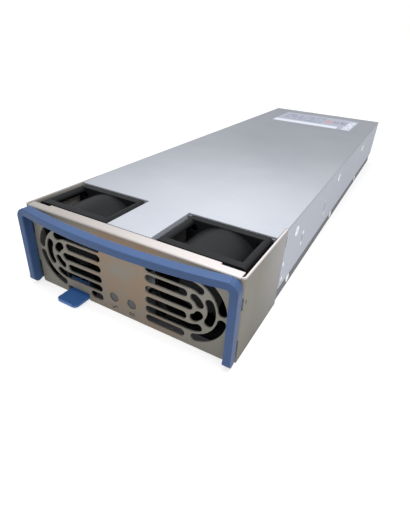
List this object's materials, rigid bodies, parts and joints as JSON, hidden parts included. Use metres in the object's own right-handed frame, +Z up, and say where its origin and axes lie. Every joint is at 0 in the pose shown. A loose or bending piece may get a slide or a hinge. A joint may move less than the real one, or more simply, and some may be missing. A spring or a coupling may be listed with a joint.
{
  "type": "hot-swap rack power supply module",
  "caption": "Flat steel power supply module for a rack shelf, with slotted fan face, top windows over the fans, folding blue bail handle and a sprung release tab.",
  "frame": {"origin": "middle of the front face's lower edge", "axes": "+X to the right seen from the front, +Y into the rack towards the rear connector, +Z up from the underside"},
  "size_m": [0.11, 0.3606, 0.041],
  "materials": {
    "bezel_steel": "satin",
    "case_steel": "satin",
    "cover_steel": "satin",
    "screw_steel": "satin",
    "handle_blue": "satin",
    "tab_blue": "satin",
    "black_plastic": "matte",
    "lens_grey": "gloss",
    "board_green": "satin",
    "ribbon_grey": "matte",
    "insulator_film": "satin",
    "sleeve_black": "satin",
    "winding_copper": "satin",
    "ferrite_grey": "matte",
    "tape_yellow": "satin",
    "sink_aluminium": "satin",
    "bar_copper": "satin",
    "fuse_white": "matte",
    "contact_brass": "satin"
  },
  "bodies": {
    "case": {"front_bezel": "bezel_steel", "chassis_tray": "case_steel", "top_cover": "cover_steel", "rear_panel": "case_steel", "cover_screws": "screw_steel", "tray_rivets": "screw_steel", "latch_guide": "black_plastic", "latch_spring": "screw_steel", "fan_frame_left": "black_plastic", "fan_frame_right": "black_plastic", "fan_stator_left": "winding_copper", "fan_stator_right": "winding_copper", "fan_bearings_left": "screw_steel", "fan_bearings_right": "screw_steel", "fan_bracket": "case_steel", "fan_screws": "screw_steel", "fan_lead_left": "black_plastic", "fan_lead_right": "black_plastic", "led_board": "board_green", "led_spacers": "screw_steel", "led_input": "lens_grey", "led_output": "lens_grey", "led_ribbon": "ribbon_grey", "insulator_sheet": "insulator_film", "board_rail_left": "case_steel", "board_rail_right": "case_steel", "board_spacers": "screw_steel", "main_board": "board_green", "bulk_capacitors": "sleeve_black", "pfc_inductor": "winding_copper", "transformer_core": "ferrite_grey", "transformer_winding": "tape_yellow", "resonant_inductor": "ferrite_grey", "switch_heatsink": "sink_aluminium", "switch_transistors": "black_plastic", "rectifier_heatsink": "sink_aluminium", "rectifier_transistors": "black_plastic", "output_inductor": "winding_copper", "output_capacitors": "sleeve_black", "output_bus_bars": "bar_copper", "bridge_rectifier": "black_plastic", "filter_choke": "winding_copper", "filter_capacitors": "tape_yellow", "input_fuse": "fuse_white", "control_card": "board_green", "rear_connector": "black_plastic", "connector_contacts": "contact_brass"},
    "bail": {"bail_handle": "handle_blue", "bail_pivot_pins": "screw_steel"},
    "latch": {"latch_slide": "tab_blue"},
    "left_impeller": {"fan_impeller_left": "black_plastic", "fan_shaft_left": "screw_steel"},
    "right_impeller": {"fan_impeller_right": "black_plastic", "fan_shaft_right": "screw_steel"}
  },
  "joints": [
    {"name": "bail_fold", "type": "hinge", "parent": "case", "child": "bail", "pos_m": [0, -0.0027, 0.0037], "axis": [1, 0, 0], "range_deg": [0, 84]},
    {"name": "latch_lift", "type": "slide", "parent": "case", "child": "latch", "axis": [0, 0, 1], "range_m": [-0.0015, 0.002], "stiffness_N_per_m": 300, "springref_m": -0.0025, "deforming": ["latch_spring"]},
    {"name": "left_fan_spin", "type": "hinge", "parent": "case", "child": "left_impeller", "pos_m": [-0.03265, 0, 0.0208], "axis": [0, 1, 0], "continuous": true},
    {"name": "right_fan_spin", "type": "hinge", "parent": "case", "child": "right_impeller", "pos_m": [0.03265, 0, 0.0208], "axis": [0, 1, 0], "continuous": true}
  ]
}
